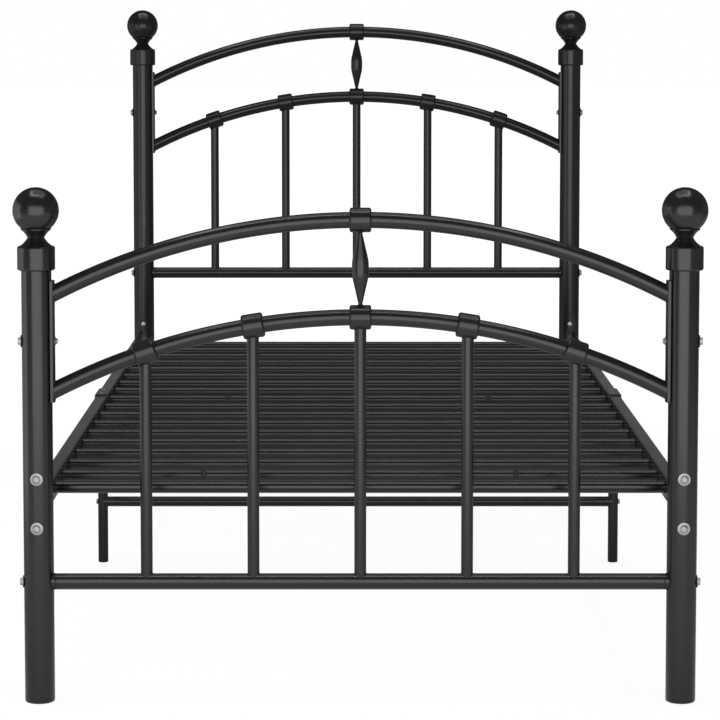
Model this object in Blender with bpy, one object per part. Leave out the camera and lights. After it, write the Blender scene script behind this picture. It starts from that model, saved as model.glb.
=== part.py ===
"""Single metal bed frame: two arched end panels, side rails, tube slats and a middle support.

Frame: +X across the bed, +Y from the footboard to the headboard, +Z up, metres. The origin is on the
floor, in the middle of the bed.
"""

from math import asin, copysign, cos, pi, radians, sin, sqrt

import bmesh
import bpy
from mathutils import Vector

# Clearance kept between pieces that touch on the real bed, and more at hollows cut in flat facets.
GAP = 0.0003
SADDLE_GAP = 0.0006

# Overall layout: distances between the post axes.
POST_SPACING_X = 0.935
POST_SPACING_Y = 2.060

# Corner posts. The top is the height of the finial collar's lower edge.
POST_RADIUS = 0.0218
POST_WALL = 0.0015
POST_FLOOR = 0.004
FOOT_EDGE = 0.003
FOOT_TOP_Z = 0.632
HEAD_TOP_Z = 0.893

# Ball finials pushed over the posts' tops. Heights are from the collar's lower edge.
COLLAR_WALL = 0.00555
COLLAR_HEIGHT = 0.035
COLLAR_EDGE = 0.003
SOCKET_DEPTH = 0.029
NECK_RADIUS = 0.0122
NECK_HEIGHT = 0.047
RING_RADIUS = 0.022
RING_HEIGHT = 0.059
BALL_RADIUS = 0.0335
BALL_HEIGHT = 0.0864

# End panels. Drops are measured down from the finial collar's lower edge.
PANEL_TUBE_RADIUS = 0.0118
PANEL_TUBE_WALL = 0.0012
ARCH_RISE = 0.1056
UPPER_ARCH_DROP = 0.033
ARCH_SEPARATION = 0.141
BOTTOM_BAR_DROP = 0.455
CASTING_RADIUS = 0.0179
CASTING_WIDTH = 0.0316
CASTING_EDGE = 0.0026
SPINDLE_RADIUS = 0.0087
SPINDLE_WALL = 0.001
SPINDLE_PITCH = 0.1553
SPINDLE_COUNT = 5
LEAF_END_RADIUS = 0.0026
LEAF_RADIUS = 0.0122
LEAF_STRAIGHT = 0.0198

# Side plates that carry the arches against the posts.
SIDE_PLATE_THICKNESS = 0.004
SIDE_PLATE_WIDTH = 0.025
SIDE_PLATE_TOP_DROP = 0.015
SIDE_PLATE_HEIGHT = 0.1765
SIDE_BOLT_DROP = 0.103

# Bolts.
BOLT_RADIUS = 0.003
DOME_RADIUS = 0.009
DOME_HEIGHT = 0.0045
NUT_RADIUS = 0.0056
NUT_HEIGHT = 0.004
WASHER_RADIUS = 0.009
WASHER_HEIGHT = 0.0012
CAP_NUT_RADIUS = 0.0048
CAP_NUT_HEIGHT = 0.006

# Side rails: rectangular tube in two halves a side.
RAIL_WIDTH = 0.020
RAIL_HEIGHT = 0.035
RAIL_WALL = 0.0015
RAIL_CENTRE_Z = 0.29225
RAIL_JOINT_Y = 0.025

# Curved brackets that bolt the rails to the posts.
BRACKET_THICKNESS = 0.003
BRACKET_HALF_ANGLE = radians(42)
BRACKET_HEIGHT = 0.0975
BRACKET_RISE = 0.002
RAIL_BOLT_SPACING = 0.072

# Tube slats between the rails.
SLAT_COUNT = 18
SLAT_RADIUS = 0.0090
SLAT_WALL = 0.001
FIRST_SLAT_INSET = 0.137

# Middle support: two legs with channels round the rail joints, and a crossbar.
LEG_Y = 0.0
LEG_RADIUS = 0.0091
LEG_EDGE = 0.0015
CHANNEL_WALL = 0.002
CHANNEL_FRONT = 0.016
CHANNEL_REAR = 0.066
SCREW_RADIUS = 0.002
SCREW_HEAD_RADIUS = 0.0045
SCREW_HEAD_HEIGHT = 0.0022
SCREW_LENGTH = 0.009
SCREW_SPACING = 0.050
CROSSBAR_Z = 0.112
CROSSBAR_RADIUS = 0.0091
CROSSBAR_NUT_RADIUS = 0.0045
CROSSBAR_NUT_HEIGHT = 0.003

# Facets round each kind of piece.
POST_SIDES = 20
TUBE_SIDES = 12
CURVE_STEPS = 3
BALL_STEPS = 7
BRACKET_STEPS = 8
PLATE_STEPS = 6
ARCH_STEP = 0.08

# Places worked out from the sizes above.
POST_X = POST_SPACING_X / 2
POST_Y = POST_SPACING_Y / 2
PLATE_FACE_X = POST_X - POST_RADIUS - GAP - SIDE_PLATE_THICKNESS
ARCH_END_X = PLATE_FACE_X - GAP
ARCH_RADIUS = (ARCH_END_X ** 2 + ARCH_RISE ** 2) / (2 * ARCH_RISE)
RAIL_TOP_Z = RAIL_CENTRE_Z + RAIL_HEIGHT / 2
RAIL_UNDER_Z = RAIL_CENTRE_Z - RAIL_HEIGHT / 2
BRACKET_Z = RAIL_CENTRE_Z + BRACKET_RISE
SLAT_PITCH = (POST_SPACING_Y - 2 * FIRST_SLAT_INSET) / (SLAT_COUNT - 1)
SIDES = {"left": -1, "right": 1}
ENDS = {"foot": (-1, FOOT_TOP_Z), "head": (1, HEAD_TOP_Z)}

AXIS_X = Vector((1, 0, 0))
AXIS_Y = Vector((0, 1, 0))
AXIS_Z = Vector((0, 0, 1))
TINY = 1e-9


def make_material(name, colour, roughness, metallic):
    material = bpy.data.materials.new(name)
    material.use_nodes = True
    shader = material.node_tree.nodes["Principled BSDF"]
    shader.inputs["Base Color"].default_value = (*colour, 1)
    shader.inputs["Roughness"].default_value = roughness
    shader.inputs["Metallic"].default_value = metallic
    material.diffuse_color = (*colour, 1)
    return material


def circle(centre, u, v, radius, sides=TUBE_SIDES):
    """Points on a circle in the plane of u and v, starting at +u."""
    centre = Vector(centre)
    points = []
    for index in range(sides):
        angle = 2 * pi * index / sides
        points.append(centre + radius * (cos(angle) * u + sin(angle) * v))
    return points


def skin(mesh, rings, looped):
    """Skin one shell over a row of rings. A ring of one point is a pole."""
    loops = [[mesh.verts.new(point) for point in ring] for ring in rings]
    pairs = list(zip(loops, loops[1:]))
    if looped:
        pairs.append((loops[-1], loops[0]))
    for first, second in pairs:
        count = max(len(first), len(second))
        for index in range(count):
            after = (index + 1) % count
            corners = [
                first[index % len(first)],
                first[after % len(first)],
                second[after % len(second)],
                second[index % len(second)],
            ]
            mesh.faces.new(dict.fromkeys(corners))
    if not looped:
        for loop in (loops[0], loops[-1]):
            if len(loop) > 2:
                mesh.faces.new(loop)


def make_piece(name, shells, material=None, looped=False, smooth=True):
    """One object from one or more closed shells, each a row of rings."""
    mesh = bmesh.new()
    for rings in shells:
        skin(mesh, rings, looped)
    bmesh.ops.recalc_face_normals(mesh, faces=mesh.faces)
    data = bpy.data.meshes.new(name)
    mesh.to_mesh(data)
    mesh.free()
    if smooth:
        data.shade_smooth()
        data.set_sharp_from_angle(angle=radians(35))
    piece = bpy.data.objects.new(name, data)
    bpy.context.scene.collection.objects.link(piece)
    if material:
        data.materials.append(material)
    return piece


def combine(piece, shells, operation):
    """Cut shells from a piece, or join them to it."""
    tool = make_piece(piece.name + "_" + operation.lower(), shells, smooth=False)
    tool.hide_render = True
    tool.display_type = "WIRE"
    modifier = piece.modifiers.new(operation.title(), "BOOLEAN")
    modifier.operation = operation
    modifier.solver = "EXACT"
    modifier.object = tool
    return piece


def turned(base, axis, profile, sides=TUBE_SIDES):
    """Rings of a turned shape: each profile point is (distance along the axis, radius)."""
    u = AXIS_X if abs(axis.x) < 0.5 else AXIS_Y
    v = axis.cross(u)
    rings = []
    for distance, radius in profile:
        centre = Vector(base) + distance * axis
        if radius < TINY:
            rings.append([centre])
        else:
            rings.append(circle(centre, u, v, radius, sides))
    return rings


def quarter_curve(first, last, leaves_along):
    """Profile along a quarter of an ellipse, leaving its first point along the axis or square to it."""
    points = []
    for step in range(CURVE_STEPS + 1):
        angle = pi / 2 * step / CURVE_STEPS
        fast, slow = sin(angle), 1 - cos(angle)
        along, across = (fast, slow) if leaves_along else (slow, fast)
        distance = first[0] + along * (last[0] - first[0])
        points.append((distance, first[1] + across * (last[1] - first[1])))
    return points


def dome(face, radius, height):
    """Profile of a round head, from its rim at a face to the middle of its top."""
    return quarter_curve((face, radius), (face + height, 0), True)


def post_saddle(ring, side, y):
    """Move a ring's points along X until they lie just clear of the post whose axis is at y."""
    reach = POST_RADIUS + SADDLE_GAP
    points = []
    for point in ring:
        depth = sqrt(reach ** 2 - (point.y - y) ** 2)
        points.append(Vector((side * (POST_X - depth), point.y, point.z)))
    return points


# --- Posts and finials ---------------------------------------------------------------------------


def bolt_heights(end):
    """Heights of a post's two rail bolts, its arch bolt and its bottom bar bolt."""
    top = ENDS[end][1]
    rail_bolts = [BRACKET_Z + half * RAIL_BOLT_SPACING / 2 for half in (-1, 1)]
    return rail_bolts, top - SIDE_BOLT_DROP, top - BOTTOM_BAR_DROP


def make_post(end, side, material):
    """Round tube with a closed foot, an open top and four bolt holes through it."""
    place, top = ENDS[end]
    base = Vector((SIDES[side] * POST_X, place * POST_Y, 0))
    height = top + SOCKET_DEPTH - GAP
    bore = POST_RADIUS - POST_WALL
    profile = [
        (0, POST_RADIUS - FOOT_EDGE),
        (FOOT_EDGE, POST_RADIUS),
        (height, POST_RADIUS),
        (height, bore),
        (POST_FLOOR, bore),
    ]
    post = make_piece(f"{end}_post_{side}", [turned(base, AXIS_Z, profile, POST_SIDES)], material)
    rail_bolts, arch_bolt, bar_bolt = bolt_heights(end)
    reach = 2 * POST_RADIUS
    holes = []
    for z in rail_bolts:
        holes.append((Vector((base.x, base.y - reach, z)), AXIS_Y))
    for z in (arch_bolt, bar_bolt):
        holes.append((Vector((base.x - reach, base.y, z)), AXIS_X))
    hole_radius = BOLT_RADIUS + GAP
    profile = [(0, hole_radius), (2 * reach, hole_radius)]
    combine(post, [turned(start, axis, profile) for start, axis in holes], "DIFFERENCE")


def make_finial(end, side, material):
    """Ball on a flared neck, with a socket that fits over the post."""
    place, top = ENDS[end]
    base = Vector((SIDES[side] * POST_X, place * POST_Y, top))
    socket = POST_RADIUS + GAP
    outer = POST_RADIUS + COLLAR_WALL
    half_edge = COLLAR_EDGE / 4
    profile = [
        (SOCKET_DEPTH, 0),
        (SOCKET_DEPTH, socket),
        (0, socket),
        (0, outer - COLLAR_EDGE),
        (COLLAR_EDGE, outer),
        (COLLAR_HEIGHT - COLLAR_EDGE, outer),
    ]
    neck = (NECK_HEIGHT, NECK_RADIUS)
    profile += quarter_curve((COLLAR_HEIGHT, outer - COLLAR_EDGE), neck, False)
    profile += quarter_curve(neck, (RING_HEIGHT - half_edge, RING_RADIUS), True)[1:]
    profile.append((RING_HEIGHT + half_edge, RING_RADIUS))
    seat = -asin((BALL_HEIGHT - RING_HEIGHT - 2 * half_edge) / BALL_RADIUS)
    for step in range(BALL_STEPS + 1):
        angle = seat + (pi / 2 - seat) * step / BALL_STEPS
        profile.append((BALL_HEIGHT + BALL_RADIUS * sin(angle), BALL_RADIUS * cos(angle)))
    make_piece(f"{end}_finial_{side}", [turned(base, AXIS_Z, profile, POST_SIDES)], material)


# --- End panels ----------------------------------------------------------------------------------


def arch_height(x, end_z):
    """Height of an arch's centre line at x, when its ends are at end_z."""
    return end_z + ARCH_RISE - ARCH_RADIUS + sqrt(ARCH_RADIUS ** 2 - x ** 2)


def spindle_places():
    middle = (SPINDLE_COUNT - 1) / 2
    return [(index - middle) * SPINDLE_PITCH for index in range(SPINDLE_COUNT)]


def arch_ring(angle, end_z, y, radius):
    """A ring square to the arch, at an angle from its crown."""
    outward = Vector((sin(angle), 0, cos(angle)))
    crown = end_z + ARCH_RISE - ARCH_RADIUS
    centre = Vector((0, y, crown)) + ARCH_RADIUS * outward
    return circle(centre, outward, AXIS_Y, radius)


def mitred(ring, angle, x):
    """Slide a ring's points along the arch's tangent to a vertical plane."""
    tangent = Vector((cos(angle), 0, -sin(angle)))
    return [point + tangent * ((x - point.x) / tangent.x) for point in ring]


def make_arch(name, end_z, y, casting_places, material):
    """Bent tube with a cast collar round it at each casting place."""
    end_angle = asin(ARCH_END_X / ARCH_RADIUS)
    half = CASTING_WIDTH / 2 / ARCH_RADIUS
    edge = CASTING_EDGE / ARCH_RADIUS
    outline = []
    reached = -end_angle
    for place in casting_places + [None]:
        middle = end_angle if place is None else asin(place / ARCH_RADIUS)
        target = end_angle if place is None else middle - half
        steps = max(1, round((target - reached) * ARCH_RADIUS / ARCH_STEP))
        stride = (target - reached) / steps
        outline += [(reached + step * stride, PANEL_TUBE_RADIUS) for step in range(steps)]
        if place is None:
            break
        outline += [
            (middle - half, PANEL_TUBE_RADIUS),
            (middle - half, CASTING_RADIUS - CASTING_EDGE),
            (middle - half + edge, CASTING_RADIUS),
            (middle + half - edge, CASTING_RADIUS),
            (middle + half, CASTING_RADIUS - CASTING_EDGE),
        ]
        reached = middle + half
    outline.append((end_angle, PANEL_TUBE_RADIUS))
    bore_steps = round(2 * end_angle * ARCH_RADIUS / ARCH_STEP)
    bore = PANEL_TUBE_RADIUS - PANEL_TUBE_WALL
    for step in range(bore_steps + 1):
        outline.append((end_angle - 2 * end_angle * step / bore_steps, bore))
    rings = []
    for angle, radius in outline:
        ring = arch_ring(angle, end_z, y, radius)
        if abs(angle) > end_angle - TINY:
            ring = mitred(ring, angle, copysign(ARCH_END_X, angle))
        rings.append(ring)
    make_piece(name, [rings], material, looped=True)


def bolt_end(face):
    """Profile of a bolt coming out of a face, through a washer and into a nut."""
    return [
        (face, BOLT_RADIUS),
        (face, WASHER_RADIUS),
        (face + WASHER_HEIGHT, WASHER_RADIUS),
        (face + WASHER_HEIGHT, NUT_RADIUS),
        (face + WASHER_HEIGHT + NUT_HEIGHT, NUT_RADIUS),
    ]


def make_bottom_bar(end, material):
    """Bar between two posts, hollowed to fit them, with a bolt through each post into its end."""
    place, top = ENDS[end]
    y = place * POST_Y
    z = top - BOTTOM_BAR_DROP
    outer_face = POST_X + POST_RADIUS + GAP
    bolt = bolt_end(outer_face)
    middle = (PANEL_TUBE_RADIUS + BOLT_RADIUS) / 2
    rings = []
    for x, radius in reversed(bolt):
        rings.append(circle((-x, y, z), AXIS_Z, AXIS_Y, radius))
    for side in (-1, 1):
        radii = (BOLT_RADIUS, middle, PANEL_TUBE_RADIUS)
        saddle = [post_saddle(circle((0, y, z), AXIS_Z, AXIS_Y, radius), side, y) for radius in radii]
        rings += saddle if side < 0 else saddle[::-1]
    for x, radius in bolt:
        rings.append(circle((x, y, z), AXIS_Z, AXIS_Y, radius))
    make_piece(f"{end}_bottom_bar", [rings], material)


def make_side_plate(end, side, material):
    """Upright plate hollowed to fit the post, with the bolt that holds it."""
    place, top = ENDS[end]
    sign = SIDES[side]
    y = place * POST_Y
    high = top - SIDE_PLATE_TOP_DROP
    low = high - SIDE_PLATE_HEIGHT
    half = SIDE_PLATE_WIDTH / 2
    across = [half * (2 * step / PLATE_STEPS - 1) for step in range(PLATE_STEPS + 1)]
    rings = []
    for z in (low, high):
        flat = [Vector((sign * PLATE_FACE_X, y + offset, z)) for offset in across]
        back = [Vector((0, y + offset, z)) for offset in reversed(across)]
        rings.append(flat + post_saddle(back, sign, y))
    plate = make_piece(f"{end}_side_plate_{side}", [rings], material)
    outer_face = POST_RADIUS + GAP
    inner_face = POST_X - PLATE_FACE_X
    head = GAP - inner_face
    profile = [(-distance, radius) for distance, radius in reversed(dome(-head, DOME_RADIUS, DOME_HEIGHT))]
    profile.append((head, BOLT_RADIUS))
    profile += bolt_end(outer_face)
    centre = (sign * POST_X, y, top - SIDE_BOLT_DROP)
    combine(plate, [turned(centre, sign * AXIS_X, profile)], "UNION")


def make_spindle(end, index, x, material):
    """Upright tube from the bottom bar to the underside of its casting."""
    place, top = ENDS[end]
    y = place * POST_Y
    end_z = top - UPPER_ARCH_DROP - ARCH_SEPARATION
    bar_z = top - BOTTOM_BAR_DROP
    crown_z = arch_height(x, end_z)
    slope = x / ARCH_RADIUS
    level = sqrt(1 - slope ** 2)
    seat = PANEL_TUBE_RADIUS + GAP

    def lower(point):
        return Vector((point.x, point.y, bar_z + sqrt(seat ** 2 - (point.y - y) ** 2)))

    def upper(point):
        drop = (CASTING_RADIUS + GAP + (point.x - x) * slope) / level
        return Vector((point.x, point.y, crown_z - drop))

    outer = circle((x, y, 0), AXIS_Y, AXIS_X, SPINDLE_RADIUS)
    bore = circle((x, y, 0), AXIS_Y, AXIS_X, SPINDLE_RADIUS - SPINDLE_WALL)
    rings = [
        [lower(point) for point in outer],
        [upper(point) for point in outer],
        [upper(point) for point in bore],
        [lower(point) for point in bore],
    ]
    make_piece(f"{end}_spindle_{index + 1}", [rings], material, looped=True)


def make_leaf(end, material):
    """Turned double taper between the two castings in the middle of the panel."""
    place, top = ENDS[end]
    crown = top - UPPER_ARCH_DROP + ARCH_RISE
    low = crown - ARCH_SEPARATION + CASTING_RADIUS + GAP
    length = ARCH_SEPARATION - 2 * CASTING_RADIUS - 2 * GAP
    taper = (length - LEAF_STRAIGHT) / 2
    profile = [
        (0, LEAF_END_RADIUS),
        (taper, LEAF_RADIUS),
        (taper + LEAF_STRAIGHT, LEAF_RADIUS),
        (length, LEAF_END_RADIUS),
    ]
    rings = turned((0, place * POST_Y, low), AXIS_Z, profile)
    make_piece(f"{end}_leaf", [rings], material)


# --- Base ----------------------------------------------------------------------------------------


def make_rail(end, side, material):
    """Half of a side rail: rectangular tube, hollowed to its bracket, with a screw hole in its top."""
    place = ENDS[end][0]
    x = SIDES[side] * POST_X
    joint = RAIL_JOINT_Y + place * GAP / 2
    near, far = sorted((joint, place * POST_Y))
    half = RAIL_WIDTH / 2

    def section(y, inset):
        corners = ((-1, -1), (1, -1), (1, 1), (-1, 1))
        return [
            Vector((x + u * (half - inset), y, RAIL_CENTRE_Z + v * (RAIL_HEIGHT / 2 - inset)))
            for u, v in corners
        ]

    rings = [section(near, 0), section(far, 0), section(far, RAIL_WALL), section(near, RAIL_WALL)]
    word = "front" if end == "foot" else "rear"
    rail = make_piece(f"side_rail_{word}_{side}", [rings], material, looped=True, smooth=False)
    reach = POST_RADIUS + GAP + BRACKET_THICKNESS + SADDLE_GAP
    profile = [(RAIL_UNDER_Z - half, reach), (RAIL_TOP_Z + half, reach)]
    saddle = turned((x, place * POST_Y, 0), AXIS_Z, profile, POST_SIDES)
    screw_y = LEG_Y if end == "foot" else LEG_Y + SCREW_SPACING
    profile = [(RAIL_CENTRE_Z, SCREW_RADIUS + GAP), (RAIL_TOP_Z + half, SCREW_RADIUS + GAP)]
    hole = turned((x, screw_y, 0), AXIS_Z, profile)
    combine(rail, [saddle, hole], "DIFFERENCE")


def make_bracket(end, side, material):
    """Curved plate with rounded ends on the post's inner face, with its two bolts."""
    place = ENDS[end][0]
    x = SIDES[side] * POST_X
    y = place * POST_Y
    inner = POST_RADIUS + GAP
    outer = inner + BRACKET_THICKNESS
    end_radius = outer * BRACKET_HALF_ANGLE
    straight = BRACKET_HEIGHT / 2 - end_radius
    rings = []
    for step in range(BRACKET_STEPS + 1):
        angle = BRACKET_HALF_ANGLE * (2 * step / BRACKET_STEPS - 1)
        along = outer * angle
        rise = straight + sqrt(max(0, end_radius ** 2 - along ** 2))
        direction = Vector((sin(angle), -place * cos(angle), 0))
        corners = ((inner, -rise), (inner, rise), (outer, rise), (outer, -rise))
        rings.append([Vector((x, y, BRACKET_Z + z)) + reach * direction for reach, z in corners])
    bracket = make_piece(f"{end}_rail_bracket_{side}", [rings], material)
    profile = [(-distance, radius) for distance, radius in reversed(dome(inner, DOME_RADIUS, DOME_HEIGHT))]
    seat = outer - BRACKET_THICKNESS / 2
    profile += [(-inner, BOLT_RADIUS), (seat, BOLT_RADIUS), (seat, CAP_NUT_RADIUS)]
    profile += dome(outer + CAP_NUT_HEIGHT - CAP_NUT_RADIUS, CAP_NUT_RADIUS, CAP_NUT_RADIUS)
    bolts = [turned((x, y, z), -place * AXIS_Y, profile) for z in bolt_heights(end)[0]]
    combine(bracket, bolts, "UNION")


def make_slat(index, material):
    y = FIRST_SLAT_INSET - POST_Y + index * SLAT_PITCH
    end_x = POST_X - RAIL_WIDTH / 2 - GAP
    bore = SLAT_RADIUS - SLAT_WALL
    profile = [(-end_x, SLAT_RADIUS), (end_x, SLAT_RADIUS), (end_x, bore), (-end_x, bore)]
    rings = turned((0, y, RAIL_CENTRE_Z), AXIS_X, profile)
    make_piece(f"slat_{index + 1:02d}", [rings], material, looped=True)


def make_leg(side, material):
    """Round leg under a channel that holds both halves of a rail, with the channel's two screws."""
    sign = SIDES[side]
    x = sign * POST_X
    under = RAIL_UNDER_Z - GAP
    over = RAIL_TOP_Z + GAP
    inner = POST_X - RAIL_WIDTH / 2
    outer = POST_X + RAIL_WIDTH / 2 + GAP
    outline = [
        (inner, under - CHANNEL_WALL),
        (outer + CHANNEL_WALL, under - CHANNEL_WALL),
        (outer + CHANNEL_WALL, over + CHANNEL_WALL),
        (inner, over + CHANNEL_WALL),
        (inner, over),
        (outer, over),
        (outer, under),
        (inner, under),
    ]
    rings = []
    for y in (LEG_Y - CHANNEL_FRONT, LEG_Y + CHANNEL_REAR):
        rings.append([Vector((sign * u, y, z)) for u, z in outline])
    leg = make_piece(f"middle_leg_{side}", [rings], material, smooth=False)
    profile = [
        (0, LEG_RADIUS - LEG_EDGE),
        (LEG_EDGE, LEG_RADIUS),
        (under - CHANNEL_WALL / 2, LEG_RADIUS),
    ]
    shells = [turned((x, LEG_Y, 0), AXIS_Z, profile)]
    top = over + CHANNEL_WALL
    profile = [(top - SCREW_LENGTH, SCREW_RADIUS), (top - CHANNEL_WALL / 2, SCREW_RADIUS)]
    profile += dome(top - CHANNEL_WALL / 2, SCREW_HEAD_RADIUS, SCREW_HEAD_HEIGHT + CHANNEL_WALL / 2)
    for y in (LEG_Y, LEG_Y + SCREW_SPACING):
        shells.append(turned((x, y, 0), AXIS_Z, profile))
    combine(leg, shells, "UNION")
    hole = [(-2 * LEG_RADIUS, BOLT_RADIUS + GAP), (2 * LEG_RADIUS, BOLT_RADIUS + GAP)]
    combine(leg, [turned((x, LEG_Y, CROSSBAR_Z), AXIS_X, hole)], "DIFFERENCE")


def make_crossbar(material):
    """Bar between the middle legs, with a bolt out through each leg."""
    seat = LEG_RADIUS + GAP
    outer_face = POST_X + seat
    rings = []
    ends = [
        (outer_face + CROSSBAR_NUT_HEIGHT, CROSSBAR_NUT_RADIUS),
        (outer_face, CROSSBAR_NUT_RADIUS),
        (outer_face, BOLT_RADIUS),
    ]
    for x, radius in ends:
        rings.append(circle((-x, LEG_Y, CROSSBAR_Z), AXIS_Z, AXIS_Y, radius))
    for side in (-1, 1):
        inner_face = POST_X - seat
        shoulders = [(inner_face, BOLT_RADIUS), (inner_face, CROSSBAR_RADIUS)]
        shoulders = shoulders if side < 0 else shoulders[::-1]
        for x, radius in shoulders:
            rings.append(circle((side * x, LEG_Y, CROSSBAR_Z), AXIS_Z, AXIS_Y, radius))
    for x, radius in reversed(ends):
        rings.append(circle((x, LEG_Y, CROSSBAR_Z), AXIS_Z, AXIS_Y, radius))
    make_piece("middle_crossbar", [rings], material)


# --- Assembly ------------------------------------------------------------------------------------


def build_bed():
    for old in list(bpy.data.objects):
        bpy.data.objects.remove(old, do_unlink=True)
    coat = make_material("black_powder_coat", (0.018, 0.018, 0.019), 0.38, 0.0)
    slat_coat = make_material("black_slat_coat", (0.02, 0.02, 0.021), 0.42, 0.0)
    plastic = make_material("black_plastic", (0.015, 0.015, 0.016), 0.25, 0.0)
    casting = make_material("black_casting", (0.018, 0.018, 0.018), 0.4, 0.0)
    zinc = make_material("zinc_fastener", (0.62, 0.62, 0.64), 0.3, 1.0)
    for end, (place, top) in ENDS.items():
        y = place * POST_Y
        upper_end = top - UPPER_ARCH_DROP
        make_arch(f"{end}_arch_upper", upper_end, y, [0.0], coat)
        make_arch(f"{end}_arch_lower", upper_end - ARCH_SEPARATION, y, spindle_places(), coat)
        make_bottom_bar(end, coat)
        make_leaf(end, casting)
        for index, x in enumerate(spindle_places()):
            make_spindle(end, index, x, coat)
        for side in SIDES:
            make_post(end, side, coat)
            make_finial(end, side, plastic)
            make_side_plate(end, side, coat)
            make_rail(end, side, coat)
            make_bracket(end, side, zinc)
    for index in range(SLAT_COUNT):
        make_slat(index, slat_coat)
    for side in SIDES:
        make_leg(side, coat)
    make_crossbar(coat)


build_bed()
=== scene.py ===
from math import asin, atan2, cos, pi, radians, sin, sqrt, tan

import bmesh
import bpy
from mathutils import Matrix, Vector


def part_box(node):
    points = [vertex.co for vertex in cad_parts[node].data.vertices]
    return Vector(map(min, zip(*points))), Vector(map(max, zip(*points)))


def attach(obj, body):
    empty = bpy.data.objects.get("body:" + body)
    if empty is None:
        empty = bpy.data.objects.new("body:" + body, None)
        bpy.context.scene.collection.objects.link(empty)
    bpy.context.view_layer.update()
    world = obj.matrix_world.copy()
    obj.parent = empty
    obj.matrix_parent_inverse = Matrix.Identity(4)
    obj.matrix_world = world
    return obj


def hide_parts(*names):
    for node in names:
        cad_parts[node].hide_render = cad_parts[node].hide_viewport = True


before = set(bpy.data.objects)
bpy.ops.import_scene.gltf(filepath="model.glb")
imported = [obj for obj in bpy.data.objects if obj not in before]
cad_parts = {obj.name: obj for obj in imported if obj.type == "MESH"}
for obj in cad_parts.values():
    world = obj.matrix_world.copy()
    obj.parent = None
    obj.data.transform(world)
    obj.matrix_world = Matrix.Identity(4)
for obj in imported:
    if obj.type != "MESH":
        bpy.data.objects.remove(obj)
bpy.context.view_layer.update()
print("frame loaded:", len(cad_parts), "nodes")

ends = ("foot", "head")
sides = {"left": -1, "right": 1}
outward = {"foot": -1, "head": 1}
zAxis = Vector((0, 0, 1))


# the finishes: patches change the gloss, peel and grain are two sizes of relief
coat = {
    "tint": (0.0040, 0.0040, 0.0043),
    "paleTint": (0.0060, 0.0060, 0.0063),
    "shine": 0.45,
    "roughness": (0.19, 0.25),
    "patchScale": 7.0,
    "speckleShare": 0.4,
    "peelScale": 260.0,
    "peelHeight": 0.000010,
    "grainScale": 2400.0,
    "grainHeight": 0.0000025,
}
slatCoat = dict(
    coat, roughness=(0.16, 0.20), peelScale=320.0, peelHeight=0.0000015, grainHeight=0.000001
)
castingCoat = dict(coat, roughness=(0.22, 0.30), peelScale=420.0, peelHeight=0.000016)
mouldedPlastic = dict(
    coat, roughness=(0.22, 0.26), peelHeight=0.000004, grainHeight=0.000001
)
plugPlastic = dict(coat, roughness=(0.34, 0.42), grainHeight=0.000006)
zinc = {
    "tint": (0.29, 0.29, 0.30),
    "paleTint": (0.37, 0.37, 0.38),
    "roughness": (0.42, 0.52),
    "patchScale": 180.0,
    "scratchScale": 900.0,
    "scratchHeight": 0.000012,
}
# the cap nuts' zinc is a brighter copy of the bolts' zinc: a painted highlight, standing in for a
# bright reflection that their domed shape doesn't catch
nutZincPaintedHighlight = dict(zinc, tint=(0.62, 0.62, 0.63), paleTint=(0.74, 0.74, 0.75))
# noise sits mostly inside this band; tints change over the narrower one
noiseBand = (0.30, 0.70)
tintBand = (0.32, 0.68)


def added(name, data):
    made = bpy.data.objects.new(name, data)
    bpy.context.scene.collection.objects.link(made)
    return made


def newMaterial(name):
    material = bpy.data.materials.new(name)
    material.use_nodes = True
    return material, material.node_tree.nodes, material.node_tree.links


def noise(nodes, links, place, scale, detail=2.0):
    pattern = nodes.new("ShaderNodeTexNoise")
    pattern.inputs["Scale"].default_value = scale
    pattern.inputs["Detail"].default_value = detail
    links.new(place.outputs["Object"], pattern.inputs["Vector"])
    return pattern.outputs["Fac"]


def stretched(nodes, links, value, given, wanted=(0, 1)):
    # carries a value from one range over to another, and holds it at the ends
    band = nodes.new("ShaderNodeMapRange")
    band.inputs["From Min"].default_value = given[0]
    band.inputs["From Max"].default_value = given[1]
    band.inputs["To Min"].default_value = wanted[0]
    band.inputs["To Max"].default_value = wanted[1]
    links.new(value, band.inputs["Value"])
    return band.outputs["Result"]


def ramped(nodes, links, value, stops):
    # a colour that changes with a value between 0 and 1
    ramp = nodes.new("ShaderNodeValToRGB")
    while len(ramp.color_ramp.elements) < len(stops):
        ramp.color_ramp.elements.new(0.5)
    for element, (position, colour) in zip(ramp.color_ramp.elements, stops):
        element.position = position
        element.color = (*colour, 1)
    links.new(value, ramp.inputs["Fac"])
    return ramp.outputs["Color"]


def tints(look):
    return list(zip(tintBand, (look["tint"], look["paleTint"])))


def bump(nodes, links, height, distance, below=None):
    relief = nodes.new("ShaderNodeBump")
    relief.inputs["Strength"].default_value = 1.0
    relief.inputs["Distance"].default_value = distance
    links.new(height, relief.inputs["Height"])
    if below:
        links.new(below, relief.inputs["Normal"])
    return relief.outputs["Normal"]


def coatMaterial(name, look):
    # sprayed powder: a faint orange peel with a finer grain over it
    material, nodes, links = newMaterial(name)
    shader = nodes["Principled BSDF"]
    shader.inputs["Specular IOR Level"].default_value = look["shine"]
    place = nodes.new("ShaderNodeTexCoord")
    patches = noise(nodes, links, place, look["patchScale"], 4.0)
    gloss = stretched(nodes, links, patches, noiseBand, look["roughness"])
    links.new(gloss, shader.inputs["Roughness"])
    speckle = noise(nodes, links, place, look["peelScale"] * look["speckleShare"], 3.0)
    colour = ramped(nodes, links, speckle, tints(look))
    links.new(colour, shader.inputs["Base Color"])
    ripples = noise(nodes, links, place, look["peelScale"])
    peel = bump(nodes, links, ripples, look["peelHeight"])
    grain = noise(nodes, links, place, look["grainScale"])
    relief = bump(nodes, links, grain, look["grainHeight"], peel)
    links.new(relief, shader.inputs["Normal"])
    return material


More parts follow.
